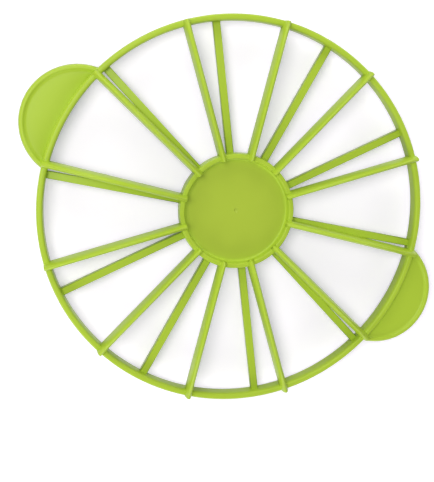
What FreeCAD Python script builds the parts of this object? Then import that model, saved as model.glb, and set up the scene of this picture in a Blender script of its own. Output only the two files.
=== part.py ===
import FreeCAD, Part
import math
import os

import Sketcher
from FreeCAD import Placement, Rotation, Vector

# Double-sided cake portion marker, moulded in one piece of stiff plastic.
# A dished hub and an outer ring are joined by wedge-shaped spokes. The upper row of
# spokes presses one number of portions into the icing. Turned over, the lower row
# presses another. Two half-moon tabs on the ring are held between finger and thumb.
#
# Ring, hub rim and tab rims taper both ways from a parting line in the middle plane.
# X runs through both tabs, and the ridges of the lower spokes lie on Z = 0.

SIZES = [
    ("ring_diameter", 270.0, "outside of the ring"),
    ("ring_width", 4.4, "ring section, radially, at its parting line"),
    ("ring_height", 12.0, "ring section, from crest to crest"),
    ("ring_crest", 0.8, "flat width of the two crests of the ring"),
    ("ring_bevel", 1.1, "bevel on each side of the ring's crests"),
    ("hub_diameter", 81.2, "outside of the hub rim"),
    ("hub_width", 4.6, "hub rim section, radially, at its parting line"),
    ("hub_height", 14.0, "hub rim section, from crest to crest"),
    ("hub_crest", 2.3, "flat width of the two crests of the hub rim"),
    ("hub_bevel", 0.5, "bevel on each side of the hub's crests"),
    ("hub_floor", 2.4, "thickness of the floor between the two dishes"),
    ("hub_corner", 1.4, "reach of the sloping corner inwards from the rim"),
    ("gate_diameter", 3.0, "moulding gate in the middle of the upper dish"),
    ("gate_depth", 0.3, "depth of the gate mark"),
    ("upper_portions", 12, "spokes in the upper row"),
    ("lower_portions", 10, "spokes in the lower row"),
    ("spoke_rise", 11.5, "from the middle plane to a ridge"),
    ("spoke_width", 5.2, "width of a wedge at its back"),
    ("spoke_land", 0.5, "how far the back of a wedge lies past the middle plane"),
    ("spoke_corner", 0.5, "rounding of the two edges of the back"),
    ("spoke_ridge", 0.6, "flat width of the ridge"),
    ("spoke_round", 1.0, "rounding on each side of the ridge's flat"),
    ("spoke_setback", 0.4, "how far spoke ends stay inside the ring and the hub rim"),
    ("tab_radius", 36.85, "radius of the middle line of a tab's rim"),
    ("tab_offset", 122.65, "from the middle of the hub to the centre of that radius"),
    ("tab_width", 4.5, "tab rim section, radially, at its parting line"),
    ("tab_height", 5.2, "tab rim section, from crest to crest"),
    ("tab_crest", 1.6, "flat width of the two crests of a tab's rim"),
    ("tab_bevel", 0.8, "bevel on each side of a tab's crests"),
    ("tab_web", 2.2, "thickness of the web inside a tab's rim"),
]

FULL_TURN = 360.0

# Numbers of a sketch's origin point, of its two axes and of the points of a curve.
ORIGIN = (-1, 1)
X_AXIS, Y_AXIS = range(-1, -3, -1)
START, END, CENTRE = range(1, 4)


# Spreadsheet and sketch helpers


def make_sheet(doc):
    """Spreadsheet with one named cell for each driving dimension."""
    sheet = doc.addObject("Spreadsheet::Sheet", "Sizes")
    for row, (name, size, note) in enumerate(SIZES, start=1):
        sheet.set(f"A{row}", name)
        sheet.set(f"B{row}", str(size))
        sheet.set(f"C{row}", note)
        sheet.setAlias(f"B{row}", name)
    doc.recompute()


def origin_feature(body, role):
    """Axis or plane of the body's own origin."""
    return next(item for item in body.Origin.OriginFeatures if item.Role == role)


def new_sketch(body, name, plane):
    """Empty sketch on one of the body's origin planes."""
    sketch = body.newObject("Sketcher::SketchObject", name)
    sketch.AttachmentSupport = [(origin_feature(body, plane), "")]
    sketch.MapMode = "FlatFace"
    return sketch


def value(sketch, formula):
    """Present value of a formula in the names of the spreadsheet."""
    return float(sketch.evalExpression(formula))


def add_line(sketch, start, end, construction=False):
    """Straight line, as its number in the sketch."""
    segment = Part.LineSegment(Vector(*start), Vector(*end))
    return sketch.addGeometry(segment, construction)


def add_outline(sketch, points):
    """Closed outline of straight lines, as the numbers of its lines."""
    following = points[1:] + points[:1]
    lines = [add_line(sketch, start, end) for start, end in zip(points, following)]
    for line, next_line in zip(lines, lines[1:] + lines[:1]):
        tie(sketch, "Coincident", line, END, next_line, START)
    return lines


def add_circle(sketch, radius):
    """Circle about the origin, as its number in the sketch."""
    number = sketch.addGeometry(Part.Circle(Vector(), Vector(0, 0, 1), radius))
    tie(sketch, "Coincident", number, CENTRE, *ORIGIN)
    return number


def add_arc(sketch, centre, radius, first, last):
    """Arc from one angle to another, anticlockwise, in degrees."""
    circle = Part.Circle(Vector(*centre), Vector(0, 0, 1), radius)
    return sketch.addGeometry(Part.ArcOfCircle(circle, math.radians(first), math.radians(last)))


def tie(sketch, kind, *where):
    """Geometric constraint."""
    sketch.addConstraint(Sketcher.Constraint(kind, *where))


def measure(sketch, label, formula, kind, *where):
    """Dimension that follows a formula in the names of the spreadsheet."""
    index = sketch.addConstraint(Sketcher.Constraint(kind, *where, value(sketch, formula)))
    sketch.renameConstraint(index, label)
    sketch.setExpression(f"Constraints.{label}", formula)


# Sections


def add_bar(sketch, outside, name):
    """Upright bar section that tapers from its parting line on the X axis to two crests.

    `outside` is a formula for the distance of the outer parting line from the origin, and
    `name` is the first word of the bar's sizes in the spreadsheet.
    """
    width, crest, bevel = [f"Sizes.{name}_{size}" for size in ("width", "crest", "bevel")]
    rise = f"Sizes.{name}_height / 2"
    half_width = value(sketch, width) / 2
    half_crest = value(sketch, crest) / 2
    cut = value(sketch, bevel)
    top = value(sketch, rise)
    middle = value(sketch, outside) - half_width

    # From the outer parting line over the upper crest, then back under the lower one.
    half_outline = [
        (half_width, 0),
        (half_crest + cut, top - cut),
        (half_crest, top),
        (-half_crest, top),
        (-half_crest - cut, top - cut),
    ]
    points = [(middle + x, y) for x, y in half_outline]
    points += [(middle - x, -y) for x, y in half_outline]
    lines = add_outline(sketch, points)
    outer_tip, outer_shoulder, outer_edge, inner_edge, inner_shoulder, inner_tip = lines[:6]

    tie(sketch, "PointOnObject", outer_tip, START, X_AXIS)
    tie(sketch, "PointOnObject", inner_tip, START, X_AXIS)
    for upper, lower in zip(lines[1:5], reversed(lines[6:])):
        tie(sketch, "Symmetric", upper, START, lower, START, X_AXIS)
    tie(sketch, "Horizontal", outer_edge)
    measure(sketch, "outside", outside, "DistanceX", *ORIGIN, outer_tip, START)
    measure(sketch, "width", width, "DistanceX", inner_tip, START, outer_tip, START)
    measure(sketch, "rise", rise, "DistanceY", *ORIGIN, outer_edge, START)
    measure(sketch, "crest", crest, "DistanceX", inner_edge, START, outer_edge, START)
    setback = f"({width} - {crest}) / 2"
    measure(sketch, "setback", setback, "DistanceX", outer_edge, START, outer_tip, START)
    outer_bevel = (outer_edge, START, outer_shoulder, START)
    inner_bevel = (inner_shoulder, START, inner_edge, START)
    measure(sketch, "outer_bevel", bevel, "DistanceX", *outer_bevel)
    measure(sketch, "inner_bevel", bevel, "DistanceX", *inner_bevel)
    measure(sketch, "outer_drop", bevel, "DistanceY", outer_shoulder, START, outer_edge, START)
    measure(sketch, "inner_drop", bevel, "DistanceY", *inner_bevel)


def add_wedge(sketch, up):
    """Wedge section with its flat back just past the X axis and a rounded ridge up or down."""
    side = 1 if up else -1
    corner = value(sketch, "Sizes.spoke_corner")
    rounding = value(sketch, "Sizes.spoke_round")
    ridge = value(sketch, "Sizes.spoke_ridge") / 2
    half = value(sketch, "Sizes.spoke_width") / 2 - corner
    back = value(sketch, "Sizes.spoke_land")
    rise = value(sketch, "Sizes.spoke_rise")

    # A flank touches the rounded corner of the back and the rounded edge of the ridge.
    foot, head = (half, corner - back), (ridge, rise - rounding)
    run, climb = head[0] - foot[0], head[1] - foot[1]
    lean = math.atan2(climb, run) - math.acos((corner - rounding) / math.hypot(run, climb))
    foot_touch, head_touch = [
        (centre[0] + radius * math.cos(lean), centre[1] + radius * math.sin(lean))
        for centre, radius in ((foot, corner), (head, rounding))
    ]
    degrees = math.degrees(lean)

    def arc(x, height, radius, first, last):
        """Rounded corner in the order of the outline: its number and its two ends."""
        if up:
            return add_arc(sketch, (x, height), radius, first, last), START, END
        return add_arc(sketch, (x, -height), radius, -last, -first), END, START

    def line(start, end):
        """Line between two points of the upward section: its number and its two ends."""
        points = [(x, side * y) for x, y in (start, end)]
        return add_line(sketch, *points), START, END

    outline = [
        line((-half, -back), (half, -back)),
        arc(*foot, corner, -90, degrees),
        line(foot_touch, head_touch),
        arc(*head, rounding, degrees, 90),
        line((ridge, rise), (-ridge, rise)),
        arc(-ridge, head[1], rounding, 90, 180 - degrees),
        line((-head_touch[0], head_touch[1]), (-foot_touch[0], foot_touch[1])),
        arc(-half, foot[1], corner, 180 - degrees, 270),
    ]
    for (number, _, last), (following, first, _) in zip(outline, outline[1:] + outline[:1]):
        tie(sketch, "Tangent", number, last, following, first)
    base, right_foot, _, right_head, top, left_head, _, left_foot = [item[0] for item in outline]

    tie(sketch, "Horizontal", base)
    tie(sketch, "Symmetric", top, START, top, END, Y_AXIS)
    tie(sketch, "Equal", right_foot, left_foot)
    tie(sketch, "Equal", right_head, left_head)
    measure(sketch, "corner", "Sizes.spoke_corner", "Radius", right_foot)
    measure(sketch, "rounding", "Sizes.spoke_round", "Radius", right_head)
    measure(sketch, "ridge", "Sizes.spoke_ridge", "DistanceX", top, END, top, START)
    width = "Sizes.spoke_width - 2 * Sizes.spoke_corner"
    measure(sketch, "width", width, "DistanceX", left_foot, CENTRE, right_foot, CENTRE)
    measure(sketch, "half", f"({width}) / 2", "DistanceX", *ORIGIN, right_foot, CENTRE)
    to_ridge = (*ORIGIN, top, START) if up else (top, START, *ORIGIN)
    to_back = (base, START, *ORIGIN) if up else (*ORIGIN, base, START)
    measure(sketch, "rise", "Sizes.spoke_rise", "DistanceY", *to_ridge)
    measure(sketch, "land", "Sizes.spoke_land", "DistanceY", *to_back)


# Features of the marker


def turn_about_middle(body, sketch, name):
    """Closed section turned once about the middle of the marker."""
    feature = body.newObject("PartDesign::Revolution", name)
    feature.Profile = sketch
    feature.ReferenceAxis = (origin_feature(body, "Z_Axis"), [""])
    feature.Angle = FULL_TURN


def add_ring(body):
    """Outer ring."""
    section = new_sketch(body, "RingSection", "XZ_Plane")
    add_bar(section, "Sizes.ring_diameter / 2", "ring")
    turn_about_middle(body, section, "Ring")


def add_hub(body):
    """Hub: a rim round a thin floor, which leaves a dish above and one below."""
    rim_section = new_sketch(body, "HubRimSection", "XZ_Plane")
    add_bar(rim_section, "Sizes.hub_diameter / 2", "hub")
    turn_about_middle(body, rim_section, "HubRim")
    floor_section = new_sketch(body, "HubFloorSection", "XZ_Plane")
    add_floor(floor_section)
    turn_about_middle(body, floor_section, "HubFloor")


def add_floor(sketch):
    """Half section of the hub's floor, which slopes up and down at its edge into the rim."""
    rim_line = "(Sizes.hub_diameter - Sizes.hub_width) / 2"
    reach = "Sizes.hub_corner + Sizes.hub_width / 2"
    edge = value(sketch, rim_line)
    slope = value(sketch, reach)
    level = value(sketch, "Sizes.hub_floor / 2")
    foot, tip = edge - slope, level + slope
    points = [(0, level), (0, -level), (foot, -level), (edge, -tip), (edge, tip), (foot, level)]
    middle, bottom, lower_slope, end, upper_slope, top = add_outline(sketch, points)

    tie(sketch, "PointOnObject", middle, START, Y_AXIS)
    tie(sketch, "Horizontal", top)
    tie(sketch, "Symmetric", middle, START, middle, END, X_AXIS)
    tie(sketch, "Symmetric", bottom, END, top, START, X_AXIS)
    tie(sketch, "Symmetric", end, START, end, END, X_AXIS)
    measure(sketch, "thickness", "Sizes.hub_floor", "DistanceY", middle, END, middle, START)
    measure(sketch, "rim_line", rim_line, "DistanceX", middle, START, end, END)
    measure(sketch, "reach", reach, "DistanceX", upper_slope, END, upper_slope, START)
    measure(sketch, "climb", reach, "DistanceY", upper_slope, END, upper_slope, START)


def add_gate_mark(body):
    """Shallow round mark that the moulding gate leaves in the upper dish."""
    outline = new_sketch(body, "GateOutline", "XY_Plane")
    outline.setExpression("AttachmentOffset.Base.z", "Sizes.hub_floor / 2")
    circle = add_circle(outline, value(outline, "Sizes.gate_diameter / 2"))
    measure(outline, "diameter", "Sizes.gate_diameter", "Diameter", circle)
    mark = body.newObject("PartDesign::Pocket", "GateMark")
    mark.Profile = outline
    mark.setExpression("Length", "Sizes.gate_depth")


def add_spoke_row(body, name, up, portions):
    """One row of wedge spokes, evenly spaced, with the X axis midway between two of them."""
    inner = "(Sizes.hub_diameter / 2 - Sizes.hub_width + Sizes.spoke_setback)"
    outer = "(Sizes.ring_diameter / 2 - Sizes.spoke_setback)"
    first = f"180 / {portions}"

    section = new_sketch(body, f"{name}Section", "YZ_Plane")
    section.AttachmentOffset = Placement(Vector(), Rotation(Vector(0, 1, 0), 1))
    section.setExpression("AttachmentOffset.Rotation.Angle", first)
    section.setExpression("AttachmentOffset.Base.x", f"{inner} * sin({first})")
    section.setExpression("AttachmentOffset.Base.z", f"{inner} * cos({first})")
    add_wedge(section, up)

    spoke = body.newObject("PartDesign::Pad", name)
    spoke.Profile = section
    spoke.setExpression("Length", f"{outer} - {inner}")

    row = body.newObject("PartDesign::PolarPattern", f"{name}Row")
    row.Originals = [spoke]
    row.Axis = (origin_feature(body, "Z_Axis"), [""])
    row.Angle = FULL_TURN
    row.setExpression("Occurrences", portions)
    body.Tip = row


def add_tabs(body):
    """Two half-moon tabs, each a thin web inside a rounded rim that ends in the ring."""
    ring_line = "((Sizes.ring_diameter - Sizes.ring_width) / 2)"
    outline = new_sketch(body, "TabOutline", "XY_Plane")
    ring_radius = value(outline, ring_line)
    offset = value(outline, "Sizes.tab_offset")
    tab_radius = value(outline, "Sizes.tab_radius")
    along = (ring_radius**2 + offset**2 - tab_radius**2) / (2 * offset)
    across = math.sqrt(ring_radius**2 - along**2)
    ring_angle = math.degrees(math.atan2(across, along))
    tab_angle = math.degrees(math.atan2(across, along - offset))

    inner = add_arc(outline, (0, 0), ring_radius, -ring_angle, ring_angle)
    outer = add_arc(outline, (offset, 0), tab_radius, -tab_angle, tab_angle)
    tie(outline, "Coincident", inner, START, outer, START)
    tie(outline, "Coincident", inner, END, outer, END)
    tie(outline, "Coincident", inner, CENTRE, *ORIGIN)
    tie(outline, "PointOnObject", outer, CENTRE, X_AXIS)
    measure(outline, "ring_line", ring_line, "Radius", inner)
    measure(outline, "tab_line", "Sizes.tab_radius", "Radius", outer)
    measure(outline, "offset", "Sizes.tab_offset", "DistanceX", *ORIGIN, outer, CENTRE)
    web = body.newObject("PartDesign::Pad", "TabWeb")
    web.Profile = outline
    web.SideType = "Symmetric"
    web.setExpression("Length", "Sizes.tab_web")

    section = new_sketch(body, "TabRimSection", "XZ_Plane")
    add_bar(section, "(Sizes.tab_offset + Sizes.tab_radius + Sizes.tab_width / 2)", "tab")
    axis = add_line(section, (offset, 0), (offset, tab_radius), construction=True)
    tie(section, "Vertical", axis)
    tie(section, "PointOnObject", axis, START, X_AXIS)
    measure(section, "axis_place", "Sizes.tab_offset", "DistanceX", *ORIGIN, axis, START)
    measure(section, "axis_length", "Sizes.tab_radius", "DistanceY", axis, START, axis, END)
    rim = body.newObject("PartDesign::Revolution", "TabRim")
    rim.Profile = section
    rim.ReferenceAxis = (section, ["Axis0"])
    rim.Midplane = True
    cosine = (f"({ring_line} ^ 2 - Sizes.tab_offset ^ 2 - Sizes.tab_radius ^ 2)"
              " / (2 * Sizes.tab_offset * Sizes.tab_radius)")
    rim.setExpression("Angle", f"2 * acos({cosine})")

    pair = body.newObject("PartDesign::Mirrored", "SecondTab")
    pair.Originals = [web, rim]
    pair.MirrorPlane = (origin_feature(body, "YZ_Plane"), [""])
    body.Tip = pair


def make_marker(doc):
    """The whole moulding, as one body."""
    body = doc.addObject("PartDesign::Body", "Marker")
    body.Label = "portion_marker"
    add_hub(body)
    add_gate_mark(body)
    add_spoke_row(body, "UpperSpoke", True, "Sizes.upper_portions")
    add_spoke_row(body, "LowerSpoke", False, "Sizes.lower_portions")
    add_ring(body)
    add_tabs(body)
    body.setExpression("Placement.Base.z", "Sizes.spoke_rise")
    doc.recompute()
    return body


# Checks and output


def check_document(doc):
    """Stop if any object of the document failed to build."""
    for item in doc.Objects:
        if "Invalid" in item.State or "Error" in item.State:
            raise RuntimeError(f"{item.Name} failed: {item.State}")


def check_solid(body):
    """Stop unless the sub-part is one valid solid."""
    shape = body.Shape
    if shape.isNull() or not shape.isValid():
        raise RuntimeError(f"{body.Label} has no valid shape")
    if len(shape.Solids) != 1:
        raise RuntimeError(f"{body.Label} has {len(shape.Solids)} solids instead of one")


def main():
    doc = FreeCAD.newDocument("CakePortionMarker")
    make_sheet(doc)
    marker = make_marker(doc)
    check_document(doc)
    check_solid(marker)
    os.makedirs("parts", exist_ok=True)
    marker.Shape.exportStep(f"parts/{marker.Label}.step")
    box = marker.Shape.optimalBoundingBox()
    print(f"{marker.Label}: {box.XLength:.1f} x {box.YLength:.1f} x {box.ZLength:.1f} mm,"
          f" {marker.Shape.Volume / 1000:.1f} cm3")


main()
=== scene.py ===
"""Shows the cake portion marker as a finished moulding of satin lime-green plastic.

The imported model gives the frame. The hub, the ring, the two rows of spokes and the tabs are
modelled again here, with the rounded edges and hollow corners of the real moulding.
"""
import math

import bmesh
import bpy
from bpy.props import FloatProperty, FloatVectorProperty, IntProperty, PointerProperty
from mathutils import Euler, Matrix, Vector


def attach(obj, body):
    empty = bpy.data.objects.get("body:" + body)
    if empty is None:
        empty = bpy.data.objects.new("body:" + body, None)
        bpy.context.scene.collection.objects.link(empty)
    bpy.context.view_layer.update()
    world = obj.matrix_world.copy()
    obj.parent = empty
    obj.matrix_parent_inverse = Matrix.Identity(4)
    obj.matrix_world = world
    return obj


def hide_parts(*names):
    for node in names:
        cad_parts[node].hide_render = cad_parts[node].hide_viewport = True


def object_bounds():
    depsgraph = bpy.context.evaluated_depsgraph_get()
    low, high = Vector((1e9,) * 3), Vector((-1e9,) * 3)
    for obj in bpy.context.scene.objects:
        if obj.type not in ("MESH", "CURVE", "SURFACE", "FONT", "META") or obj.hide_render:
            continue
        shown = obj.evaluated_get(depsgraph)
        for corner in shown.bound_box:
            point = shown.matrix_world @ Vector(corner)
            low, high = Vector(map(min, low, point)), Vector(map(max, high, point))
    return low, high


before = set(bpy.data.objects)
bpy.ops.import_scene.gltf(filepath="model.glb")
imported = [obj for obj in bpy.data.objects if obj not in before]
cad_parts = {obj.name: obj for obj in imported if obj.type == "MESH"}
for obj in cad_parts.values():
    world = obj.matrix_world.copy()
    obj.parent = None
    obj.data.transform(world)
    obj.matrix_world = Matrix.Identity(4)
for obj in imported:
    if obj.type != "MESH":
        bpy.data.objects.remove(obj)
CAD_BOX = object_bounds()

bl_info = {
    "name": "Cake portion marker",
    "version": (1, 0, 0),
    "blender": (4, 5, 0),
    "location": "3D View > Sidebar > Marker",
    "description": "Models a double-sided cake portion marker and the studio it stands in",
    "category": "Add Mesh",
}

MM = 0.001
FULL_TURN = 2 * math.pi
ORIGIN = (0, 0, 0)
UPWARDS = (0, 0, 1)
NODE = "portion_marker"

# Steps along a rounded corner and an arch, round the ring and the hub, and along a tab
ROUND_STEPS = 5
ARCH_STEPS = 24
RING_STEPS = 288
HUB_STEPS = 160
TAB_STEPS = 72
MERGE_DISTANCE = 1e-6

# Shares of a bevel and of a crest that their roundings take up
BEVEL_SHARE = 0.65
CREST_SHARE = 0.48

# Distance from the foot of a tab's rim to the web's edge, in hollow corners
HOLLOW_CLEARANCE = 1.25

# Skin of the plastic, with noise in patches to the metre and relief at its full height
PLASTIC = "lime_plastic"
PLASTIC_IOR = 1.49
SPECULAR_LEVEL = 0.2
CLOUD_SCALE = 22.0
CLOUD_ROUGHNESS = 0.04
WAVE_SCALE = 70.0
WAVE_RELIEF = 0.05 * MM
GRAIN_SCALE = 2600.0
GRAIN_RELIEF = 0.012 * MM
GRAIN_ROUGHNESS = 0.06

# Distances from the Z axis between which the darker, paler colour of the dishes sets in: painted
# shade and sheen on the dish floors, and partly their finer texture
DISH_TEXTURE_AND_SHADE_START = 35.5 * MM
DISH_TEXTURE_AND_SHADE_FULL = 33.5 * MM

# Sockets of a Mix node that mixes colours, by number because their names repeat
MIX_FACTOR = 0
MIX_FIRST = 6
MIX_SECOND = 7
MIX_RESULT = 2

# Studio in metres, with the azimuth and elevation of each softbox in degrees
FLOOR_REACH = 0.8
SOFTBOX_SIZE = 0.7
SOFTBOX_DISTANCE = 1.3
SOFTBOXES = {
    "left": (135, 15),
    "right": (252, 12),
    "near": (315, 15),
    "far": (62, 15),
    "high": (180, 67),
}

# Camera at the photograph's viewing angle, with its place in metres and its turn in degrees
CAMERA_LENS = 59.936
CAMERA_SHIFT = (-0.07273, -0.14069)
CAMERA_PLACE = (-0.12389, 0.02691, 0.55899)
CAMERA_TURN = (-6.1405, -10.8587, 30.2433)


# Sizes and colours that a user may change


def length(name, millimetres, description):
    """Property for a length, whose default is given in millimetres."""
    return FloatProperty(
        name=name, description=description, default=millimetres * MM, unit="LENGTH", min=0.0
    )


def section_fullness(exponent):
    """Property for the fullness of a rounded section."""
    return FloatProperty(
        name="Fullness",
        description="Exponent of the rounded section, where 2 is an ellipse and more is fuller",
        default=exponent,
        min=1.5,
        max=6.0,
    )


def portions(name, count, description):
    """Property for the number of spokes in a row."""
    return IntProperty(name=name, description=description, default=count, min=3)


def plain_colour(name, default, description):
    """Property for a colour."""
    return FloatVectorProperty(
        name=name,
        description=description,
        subtype="COLOR",
        size=3,
        min=0.0,
        max=1.0,
        default=default,
    )


def lamp_power(place, watts):
    """Property for the power of a softbox."""
    return FloatProperty(
        name=place + " power",
        description="Power of this softbox in watts",
        default=watts,
        unit="POWER",
        min=0.0,
    )


class RingSizes(bpy.types.PropertyGroup):
    """Sizes of the outer ring"""

    outside: length("Diameter", 270.5, "Outside of the ring")
    width: length("Width", 4.7, "Ring section, radially, at its parting line")
    height: length("Height", 12.0, "Ring section, from crest to crest")
    fullness: section_fullness(3.6)


class HubSizes(bpy.types.PropertyGroup):
    """Sizes of the hub's rim, its floor and the gate mark"""

    outside: length("Diameter", 81.2, "Outside of the hub rim")
    width: length("Width", 4.6, "Hub rim section, radially, at its parting line")
    height: length("Height", 14.0, "Hub rim section, from crest to crest")
    crest: length("Crest", 2.3, "Width of the crests between their rounded bevels")
    bevel: length("Bevel", 0.5, "Rounded bevel on each side of a crest")
    floor: length("Floor", 2.4, "Thickness of the floor between the two dishes")
    hollow: length("Hollow corner", 1.4, "Reach of the hollow corner between floor and rim")
    gate_width: length("Gate mark", 3.0, "Width of the moulding gate's mark")
    gate_depth: length("Gate depth", 0.015, "Depth of the moulding gate's mark")


class SpokeSizes(bpy.types.PropertyGroup):
    """Numbers and sizes of the wedge spokes"""

    upper_portions: portions("Upper portions", 12, "Spokes in the upper row")
    lower_portions: portions("Lower portions", 10, "Spokes in the lower row")
    rise: length("Rise", 11.5, "From the middle plane to a ridge")
    width: length("Width", 5.2, "Width of a wedge at its back")
    land: length("Land", 0.5, "How far the back lies past the middle plane")
    corner: length("Corner", 0.5, "Rounding of the edges of the back")
    fullness: section_fullness(2.1)
    setback: length("Setback", 0.4, "How far spoke ends stay inside ring and hub rim")


class TabSizes(bpy.types.PropertyGroup):
    """Sizes of the half-moon tabs"""

    radius: length("Radius", 36.85, "Middle line of a tab's rim")
    offset: length("Offset", 122.65, "From the middle of the hub to the centre of that line")
    width: length("Width", 4.5, "Tab rim section, radially, at its parting line")
    height: length("Height", 5.2, "Tab rim section, from crest to crest")
    crest: length("Crest", 1.6, "Width of the crests between their rounded bevels")
    bevel: length("Bevel", 0.8, "Rounded bevel on each side of a crest")
    web: length("Web", 2.2, "Thickness of the web inside the rim")
    hollow: length("Hollow corner", 1.2, "Reach of the hollow corner between web and rim")


class PlasticFinish(bpy.types.PropertyGroup):
    """Colours and gloss of the plastic"""

    colour: plain_colour("Colour", (0.405, 0.56, 0.041), "Lime green of the plastic")
    deep_colour: plain_colour(
        "Deep colour",
        (0.39, 0.54, 0.038),
        "Colour of the plastic where it is a little thicker or denser",
    )
    # Darker, paler tone of the dish floors: painted shade and sheen, and partly their finer texture
    dish_texture_and_shade_colour: plain_colour(
        "Dish colour",
        (0.388, 0.508, 0.043),
        "Colour of the finely textured floor of the dishes",
    )
    roughness: FloatProperty(
        name="Roughness",
        description="Roughness of the satin skin",
        default=0.33,
        subtype="FACTOR",
        min=0.0,
        max=1.0,
    )


class StudioSettings(bpy.types.PropertyGroup):
    """Light and floor of the studio"""

    left_power: lamp_power("Left", 8.0)
    right_power: lamp_power("Right", 8.8)
    near_power: lamp_power("Near", 5.5)
    far_power: lamp_power("Far", 5.5)
    high_power: lamp_power("High", 9.7)
    fill: FloatProperty(
        name="Fill", description="Strength of the light from all round", default=0.22, min=0.0
    )
    floor_colour: plain_colour(
        "Floor colour",
        (0.18, 0.18, 0.18),
        "Colour of the floor, as it lights the marker",
    )
    seen_colour: plain_colour(
        "Seen floor colour",
        (0.9, 0.84, 0.9),
        "Colour of the floor as the camera sees it, before its lift",
    )
    lift: plain_colour(
        "Lift",
        (0.3, 0.31, 0.34),
        "Light added to the floor as the camera sees it, so that it shows white",
    )


SETTINGS = {
    "marker_ring": RingSizes,
    "marker_hub": HubSizes,
    "marker_spokes": SpokeSizes,
    "marker_tabs": TabSizes,
    "marker_plastic": PlasticFinish,
    "marker_studio": StudioSettings,
}


# Shader graphs


class Wire:
    """Output socket that can stand in a Python expression, which adds Math nodes."""

    def __init__(self, graph, socket):
        self.graph = graph
        self.socket = socket

    def maths(self, operation, *values):
        """Math node on these values, which are wires or numbers."""
        settings = {"operation": operation}
        return self.graph.node("ShaderNodeMath", settings, dict(enumerate(values)))

    def __add__(self, other):
        return self.maths("ADD", self, other)

    __radd__ = __add__

    def __mul__(self, other):
        return self.maths("MULTIPLY", self, other)

    __rmul__ = __mul__


def opaque(colour):
    """Colour with full alpha, as a socket takes it."""
    return (*colour, 1.0)


class Graph:
    """Node tree that is being written from empty."""

    def __init__(self, tree):
        self.tree = tree
        tree.nodes.clear()

    def node(self, kind, settings=None, sockets=None, output=0):
        """New node with its settings made first, then its sockets, as a wire from one output."""
        node = self.tree.nodes.new(kind)
        for name, setting in (settings or {}).items():
            setattr(node, name, setting)
        for key, value in (sockets or {}).items():
            if isinstance(value, Wire):
                self.tree.links.new(value.socket, node.inputs[key])
            else:
                node.inputs[key].default_value = value
        return Wire(self, node.outputs[output]) if node.outputs else None

    def noise(self, place, scale, detail=2.0):
        """Noise from 0 to 1, with `scale` patches to the metre."""
        sockets = {"Vector": place, "Scale": scale, "Detail": detail}
        return self.node("ShaderNodeTexNoise", None, sockets)

    def mix_colour(self, factor, first, second):
        """Colour between two colours."""
        first, second = [c if isinstance(c, Wire) else opaque(c) for c in (first, second)]
        sockets = {MIX_FACTOR: factor, MIX_FIRST: first, MIX_SECOND: second}
        return self.node("ShaderNodeMix", {"data_type": "RGBA"}, sockets, MIX_RESULT)

    def bump(self, height, distance, normal=None):
        """Surface normal with this relief, whose full height is a distance in metres."""
        sockets = {"Height": height, "Distance": distance}
        if normal:
            sockets["Normal"] = normal
        return self.node("ShaderNodeBump", None, sockets)

    def distance_from_axis(self, place):
        """Distance of a place from the Z axis."""
        level = self.node(
            "ShaderNodeVectorMath", {"operation": "MULTIPLY"}, {0: place, 1: (1, 1, 0)}
        )
        return self.node("ShaderNodeVectorMath", {"operation": "LENGTH"}, {0: level}, "Value")

    def seen_directly(self):
        """1 for rays that show the background itself or its reflection, otherwise 0."""
        kinds = ("Is Camera Ray", "Is Glossy Ray", "Is Transmission Ray")
        camera, glossy, transmission = [
            self.node("ShaderNodeLightPath", output=kind) for kind in kinds
        ]
        rays = camera + glossy + transmission
        return rays.maths("MINIMUM", rays, 1.0)


def moulded_plastic(finish):
    """Satin plastic: faint clouds of colour, a fine grain and the slow waves of a moulded skin."""
    material = bpy.data.materials.new(PLASTIC)
    material.use_nodes = True
    graph = Graph(material.node_tree)
    place = graph.node("ShaderNodeTexCoord", output="Object")
    # Inside the dishes the colour turns darker and paler: painted shade and sheen on the dish
    # floors, and partly their finer texture
    dish_limits = {
        "Value": graph.distance_from_axis(place),
        "From Min": DISH_TEXTURE_AND_SHADE_START,
        "From Max": DISH_TEXTURE_AND_SHADE_FULL,
    }
    in_dish = graph.node("ShaderNodeMapRange", None, dish_limits)
    clouds = graph.noise(place, CLOUD_SCALE)
    waves = graph.noise(place, WAVE_SCALE, detail=1.0)
    grain = graph.noise(place, GRAIN_SCALE)
    normal = graph.bump(grain, GRAIN_RELIEF, graph.bump(waves, WAVE_RELIEF))
    skin = graph.mix_colour(clouds, finish.colour, finish.deep_colour)
    smoothest = finish.roughness - (GRAIN_ROUGHNESS + CLOUD_ROUGHNESS) / 2
    shader = graph.node(
        "ShaderNodeBsdfPrincipled",
        None,
        {
            "Base Color": graph.mix_colour(in_dish, skin, finish.dish_texture_and_shade_colour),
            "Roughness": smoothest + GRAIN_ROUGHNESS * grain + CLOUD_ROUGHNESS * clouds,
            "Normal": normal,
            "IOR": PLASTIC_IOR,
            "Specular IOR Level": SPECULAR_LEVEL,
        },
    )
    graph.node("ShaderNodeOutputMaterial", None, {"Surface": shader})
    return material


def shared_plastic(context):
    """The one plastic of the whole moulding."""
    found = bpy.data.materials.get(PLASTIC)
    return found or moulded_plastic(context.scene.marker_plastic)


# Outlines, as corners (x, z, rounding)


def arch_outline(middle, half, height, fullness):
    """Half outline of a rounded bar above the middle plane, from outside to inside."""
    power = 2 / fullness
    angles = [math.pi * step / ARCH_STEPS for step in range(1, ARCH_STEPS)]
    arch = [
        (
            middle + math.copysign(half * abs(math.cos(angle)) ** power, math.cos(angle)),
            height * math.sin(angle) ** power,
            0.0,
        )
        for angle in angles
    ]
    return [(middle + half, 0.0, 0.0), *arch, (middle - half, 0.0, 0.0)]


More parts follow.
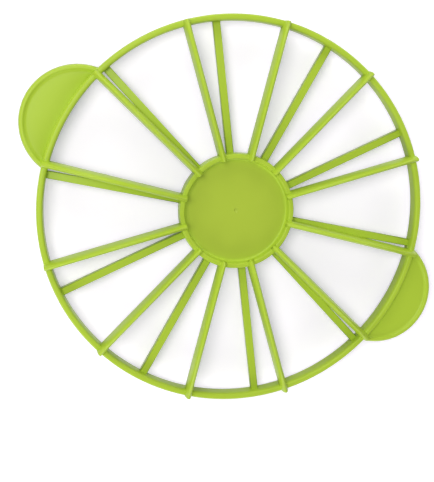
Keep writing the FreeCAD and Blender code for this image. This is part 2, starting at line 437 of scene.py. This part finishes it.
def bar_outline(outside, sizes):
    """Half outline of a bevelled bar above the middle plane, from outside to inside.

    Its corners are tip, shoulder and crest, then crest, shoulder and tip. The roundings take up
    much of each bevel, so that the top of the bar looks like one arc.
    """
    middle = outside - sizes.width / 2
    half, top = sizes.width / 2, sizes.height / 2
    crest, shoulder = sizes.crest / 2, sizes.crest / 2 + sizes.bevel
    rounding = BEVEL_SHARE * sizes.bevel
    crest_rounding = min(rounding, CREST_SHARE * sizes.crest)
    return [
        (middle + half, 0.0, 0.0),
        (middle + shoulder, top - sizes.bevel, rounding),
        (middle + crest, top, crest_rounding),
        (middle - crest, top, crest_rounding),
        (middle - shoulder, top - sizes.bevel, rounding),
        (middle - half, 0.0, 0.0),
    ]


def inner_foot(bar, level):
    """Distance from the Z axis at which the inner flank of a bevelled bar meets this level."""
    shoulder, tip = bar[-2:]
    return tip[0] + (shoulder[0] - tip[0]) * level / shoulder[1]


def turned_over(outline):
    """Outline mirrored in the middle plane, in reverse so that it leads on from the first."""
    return [(x, -z, rounding) for x, z, rounding in reversed(outline)]


def both_sides(half_outline):
    """Whole outline, from its upper half whose ends may lie on the middle plane."""
    return half_outline + [corner for corner in turned_over(half_outline) if corner[1]]


# Mesh helpers


def add_section(mesh, outline):
    """Add a face in the XZ plane with this outline, and round its corners."""
    corners = [mesh.verts.new((x, 0.0, z)) for x, z, _ in outline]
    mesh.faces.new(corners)
    for corner, (_, _, rounding) in zip(corners, outline):
        if rounding:
            bmesh.ops.bevel(
                mesh,
                geom=[corner],
                offset=rounding,
                offset_type="OFFSET",
                segments=ROUND_STEPS,
                profile=0.5,
                affect="VERTICES",
                material=-1,
            )


def spin_about(mesh, geom, angle, steps, centre=ORIGIN, use_merge=False, use_duplicate=False):
    """Spin this geometry about the upright line through a centre."""
    bmesh.ops.spin(
        mesh,
        geom=geom,
        cent=centre,
        axis=UPWARDS,
        dvec=ORIGIN,
        angle=angle,
        steps=steps,
        use_merge=use_merge,
        use_duplicate=use_duplicate,
    )


def spin_section(mesh, steps):
    """Turn the section's outline once about the Z axis."""
    bmesh.ops.delete(mesh, geom=mesh.faces[:], context="FACES_ONLY")
    on_axis = [edge for edge in mesh.edges if all(abs(v.co.x) < MERGE_DISTANCE for v in edge.verts)]
    bmesh.ops.delete(mesh, geom=on_axis, context="EDGES")
    spin_about(mesh, mesh.verts[:] + mesh.edges[:], FULL_TURN, steps, use_merge=True)
    bmesh.ops.remove_doubles(mesh, verts=mesh.verts[:], dist=MERGE_DISTANCE)
    bmesh.ops.dissolve_degenerate(mesh, edges=mesh.edges[:], dist=MERGE_DISTANCE)


def repeat_round(mesh, copies):
    """Repeat all the geometry evenly round the Z axis, until there are this many copies."""
    everything = mesh.verts[:] + mesh.edges[:] + mesh.faces[:]
    last_turn = FULL_TURN * (copies - 1) / copies
    spin_about(mesh, everything, last_turn, copies - 1, use_duplicate=True)


def finish_piece(context, mesh, name):
    """Make a mesh a piece of the marker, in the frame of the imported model."""
    middle = sum(corner.z for corner in CAD_BOX) / 2
    bmesh.ops.translate(mesh, verts=mesh.verts[:], vec=(0, 0, middle))
    bmesh.ops.recalc_face_normals(mesh, faces=mesh.faces[:])
    for face in mesh.faces:
        face.smooth = True
    data = bpy.data.meshes.new(name)
    mesh.to_mesh(data)
    mesh.free()
    data.materials.append(shared_plastic(context))
    piece = bpy.data.objects.new(name, data)
    context.scene.collection.objects.link(piece)
    piece.modifiers.new("Even shading", "WEIGHTED_NORMAL")
    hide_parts(NODE)
    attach(piece, "root")


# Pieces


class AddHub(bpy.types.Operator):
    """Add the hub, with a dish above and a dish below its floor"""

    bl_idname = "marker.add_hub"
    bl_label = "Add hub"

    def execute(self, context):
        sizes = context.scene.marker_hub
        rim = bar_outline(sizes.outside / 2, sizes)
        level = sizes.floor / 2
        # The outline runs over the rim to the upper dish, its gate mark and the lower dish.
        upper = rim[:-1] + [(inner_foot(rim, level), level, sizes.hollow)]
        gate = sizes.gate_width / 2
        gate_level = level - sizes.gate_depth
        gate_mark = [(gate, level, 0.0), (gate, gate_level, 0.0), (0.0, gate_level, 0.0)]
        mesh = bmesh.new()
        add_section(mesh, upper + gate_mark + [(0.0, -level, 0.0)] + turned_over(upper[1:]))
        spin_section(mesh, HUB_STEPS)
        finish_piece(context, mesh, "hub")
        return {"FINISHED"}


class AddRing(bpy.types.Operator):
    """Add the outer ring"""

    bl_idname = "marker.add_ring"
    bl_label = "Add ring"

    def execute(self, context):
        sizes = context.scene.marker_ring
        half = sizes.width / 2
        middle = sizes.outside / 2 - half
        mesh = bmesh.new()
        add_section(mesh, both_sides(arch_outline(middle, half, sizes.height / 2, sizes.fullness)))
        spin_section(mesh, RING_STEPS)
        finish_piece(context, mesh, "ring")
        return {"FINISHED"}


class AddSpokes(bpy.types.Operator):
    """Add the upper and the lower row of wedge spokes"""

    bl_idname = "marker.add_spokes"
    bl_label = "Add spokes"

    def execute(self, context):
        sizes = context.scene.marker_spokes
        self.add_row(context, "upper_spokes", sizes.upper_portions, 1)
        self.add_row(context, "lower_spokes", sizes.lower_portions, -1)
        return {"FINISHED"}

    def add_row(self, context, name, count, side):
        """One row, with its ridges up for side 1 or down for side -1."""
        scene = context.scene
        sizes, hub, ring = scene.marker_spokes, scene.marker_hub, scene.marker_ring
        start = hub.outside / 2 - hub.width + sizes.setback
        end = ring.outside / 2 - sizes.setback
        half = sizes.width / 2
        arch = arch_outline(0.0, half, sizes.rise, sizes.fullness)
        back = [(-half, -sizes.land, sizes.corner), (half, -sizes.land, sizes.corner)]
        mesh = bmesh.new()
        add_section(mesh, [(x, side * z, rounding) for x, z, rounding in arch[1:-1] + back])
        bmesh.ops.translate(mesh, verts=mesh.verts[:], vec=(0, start, 0))
        grown = bmesh.ops.extrude_face_region(mesh, geom=mesh.faces[:], use_keep_orig=True)
        far_end = [item for item in grown["geom"] if isinstance(item, bmesh.types.BMVert)]
        bmesh.ops.translate(mesh, verts=far_end, vec=(0, end - start, 0))
        # The spoke lies along Y. The first place of a row is half a portion past the X axis.
        turn = Matrix.Rotation(math.pi / count - math.pi / 2, 3, "Z")
        bmesh.ops.rotate(mesh, verts=mesh.verts[:], cent=ORIGIN, matrix=turn)
        repeat_round(mesh, count)
        finish_piece(context, mesh, name)


class AddTabs(bpy.types.Operator):
    """Add the two half-moon tabs"""

    bl_idname = "marker.add_tabs"
    bl_label = "Add tabs"

    def execute(self, context):
        sizes, ring = context.scene.marker_tabs, context.scene.marker_ring
        ring_line = ring.outside / 2 - ring.width / 2
        # The middle lines of the ring and of the tab's rim cross at this place.
        along = (ring_line**2 + sizes.offset**2 - sizes.radius**2) / (2 * sizes.offset)
        across = math.sqrt(ring_line**2 - along**2)
        ring_angle = math.atan2(across, along)
        tab_angle = math.atan2(across, along - sizes.offset)
        mesh = bmesh.new()
        rim_edges = self.spin_rim(mesh, sizes, tab_angle)
        self.fill_web(mesh, sizes, rim_edges, ring_line, ring_angle)
        repeat_round(mesh, 2)
        finish_piece(context, mesh, "tabs")
        return {"FINISHED"}

    def spin_rim(self, mesh, sizes, tab_angle):
        """Rim of one tab; returns the upper and the lower edges where the web joins it."""
        rim = bar_outline(sizes.offset + sizes.radius + sizes.width / 2, sizes)
        level = sizes.web / 2
        foot = inner_foot(rim, level)
        web_edge = foot - HOLLOW_CLEARANCE * sizes.hollow
        upper = rim[:-2] + [(foot, level, sizes.hollow), (web_edge, level, 0.0)]
        add_section(mesh, both_sides(upper))
        bmesh.ops.delete(mesh, geom=mesh.faces[:], context="FACES_ONLY")
        inner = [v for v in mesh.verts if abs(v.co.x - web_edge) < MERGE_DISTANCE]
        closing = [e for e in mesh.edges if all(v in inner for v in e.verts)]
        bmesh.ops.delete(mesh, geom=closing, context="EDGES")
        centre = Vector((sizes.offset, 0, 0))
        turn = Matrix.Rotation(-tab_angle, 3, "Z")
        bmesh.ops.rotate(mesh, verts=mesh.verts[:], cent=centre, matrix=turn)
        spin_about(mesh, mesh.verts[:] + mesh.edges[:], 2 * tab_angle, TAB_STEPS, centre)
        radius = web_edge - sizes.offset
        return [self.arc_edges(mesh, centre, radius, side) for side in (1, -1)]

    def arc_edges(self, mesh, centre, radius, side):
        """Edges on a circle, above the middle plane for side 1 or below it for side -1."""

        def lies_there(vert):
            off_circle = abs((vert.co.xy - centre.xy).length - radius)
            return off_circle < MERGE_DISTANCE and side * vert.co.z > 0

        return [edge for edge in mesh.edges if all(lies_there(vert) for vert in edge.verts)]

    def fill_web(self, mesh, sizes, rim_edges, ring_line, ring_angle):
        """Web of one tab, from the rim to the middle line of the ring."""
        start = Matrix.Rotation(-ring_angle, 3, "Z") @ Vector((ring_line, 0, 0))
        arcs = []
        for side, outer_arc in zip((1, -1), rim_edges):
            first = mesh.verts.new(start + Vector((0, 0, side * sizes.web / 2)))
            before = set(mesh.edges)
            spin_about(mesh, [first], 2 * ring_angle, TAB_STEPS)
            arc = [edge for edge in mesh.edges if edge not in before]
            bmesh.ops.bridge_loops(mesh, edges=outer_arc + arc)
            arcs += arc
        bmesh.ops.bridge_loops(mesh, edges=arcs)
        bmesh.ops.holes_fill(mesh, edges=[e for e in mesh.edges if e.is_boundary], sides=0)


# Stage


class AddStage(bpy.types.Operator):
    """Add the floor, the lights, the surroundings and the camera"""

    bl_idname = "marker.add_stage"
    bl_label = "Add stage"

    def execute(self, context):
        studio = context.scene.marker_studio
        self.add_floor(context, studio)
        for name, (azimuth, elevation) in SOFTBOXES.items():
            power = getattr(studio, name + "_power")
            self.add_softbox(context, name, power, azimuth, elevation)
        self.set_surroundings(context, studio)
        self.add_camera(context)
        context.scene.view_settings.view_transform = "Standard"
        return {"FINISHED"}

    def add_floor(self, context, studio):
        """Pale floor that shows white, and keeps the marker's shadow."""
        mesh = bmesh.new()
        bmesh.ops.create_grid(mesh, x_segments=1, y_segments=1, size=FLOOR_REACH)
        data = bpy.data.meshes.new("floor")
        mesh.to_mesh(data)
        mesh.free()
        data.materials.append(self.floor_finish(studio))
        floor = bpy.data.objects.new("floor", data)
        context.scene.collection.objects.link(floor)

    def floor_finish(self, studio):
        """Matt grey that lights the marker softly, but is seen as a white with shadows."""
        material = bpy.data.materials.new("floor")
        material.use_nodes = True
        graph = Graph(material.node_tree)
        matt = "ShaderNodeBsdfDiffuse"
        paint = graph.node(matt, None, {"Color": opaque(studio.floor_colour)})
        shade = graph.node(matt, None, {"Color": opaque(studio.seen_colour)})
        lift = graph.node("ShaderNodeEmission", None, {"Color": opaque(studio.lift)})
        shown = graph.node("ShaderNodeAddShader", None, {0: shade, 1: lift})
        sockets = {0: graph.seen_directly(), 1: paint, 2: shown}
        surface = graph.node("ShaderNodeMixShader", None, sockets)
        graph.node("ShaderNodeOutputMaterial", None, {"Surface": surface})
        return material

    def add_softbox(self, context, name, power, azimuth, elevation):
        """Square area light that faces the middle of the marker."""
        light = bpy.data.lights.new(name, "AREA")
        light.energy = power
        light.size = SOFTBOX_SIZE
        lamp = bpy.data.objects.new(name, light)
        context.scene.collection.objects.link(lamp)
        height, bearing = math.radians(elevation), math.radians(azimuth)
        level = math.cos(height)
        direction = Vector(
            (level * math.cos(bearing), level * math.sin(bearing), math.sin(height))
        )
        lamp.location = direction * SOFTBOX_DISTANCE
        lamp.rotation_euler = direction.to_track_quat("Z", "Y").to_euler()

    def set_surroundings(self, context, studio):
        """Even light from all round, seen as white."""
        world = bpy.data.worlds.new("studio")
        world.use_nodes = True
        graph = Graph(world.node_tree)
        seen = graph.seen_directly()
        strength = studio.fill + (1.0 - studio.fill) * seen
        sockets = {"Color": (1.0, 1.0, 1.0, 1.0), "Strength": strength}
        background = graph.node("ShaderNodeBackground", None, sockets)
        graph.node("ShaderNodeOutputWorld", None, {"Surface": background})
        context.scene.world = world

    def add_camera(self, context):
        """Camera at the photograph's viewing angle."""
        camera = bpy.data.cameras.new("camera")
        camera.lens = CAMERA_LENS
        camera.shift_x, camera.shift_y = CAMERA_SHIFT
        camera.dof.use_dof = False
        holder = bpy.data.objects.new("camera", camera)
        holder.location = CAMERA_PLACE
        holder.rotation_euler = Euler([math.radians(angle) for angle in CAMERA_TURN])
        context.scene.collection.objects.link(holder)
        context.scene.camera = holder


class MarkerPanel(bpy.types.Panel):
    """Steps that make the marker and its studio"""

    bl_idname = "VIEW3D_PT_cake_marker"
    bl_label = "Cake portion marker"
    bl_space_type = "VIEW_3D"
    bl_region_type = "UI"
    bl_category = "Marker"

    def draw(self, context):
        for group in SETTINGS:
            settings = getattr(context.scene, group)
            box = self.layout.box()
            for name in settings.__annotations__:
                box.prop(settings, name)
        for operator in OPERATORS:
            self.layout.operator(operator.bl_idname)


OPERATORS = (AddHub, AddRing, AddSpokes, AddTabs, AddStage)
CLASSES = (*SETTINGS.values(), *OPERATORS, MarkerPanel)


def register():
    for item in CLASSES:
        bpy.utils.register_class(item)
    for name, group in SETTINGS.items():
        setattr(bpy.types.Scene, name, PointerProperty(type=group))


def unregister():
    for name in SETTINGS:
        delattr(bpy.types.Scene, name)
    for item in reversed(CLASSES):
        bpy.utils.unregister_class(item)


def main():
    register()
    bpy.ops.marker.add_hub()
    bpy.ops.marker.add_ring()
    bpy.ops.marker.add_spokes()
    bpy.ops.marker.add_tabs()
    bpy.ops.marker.add_stage()


if __name__ == "__main__":
    main()
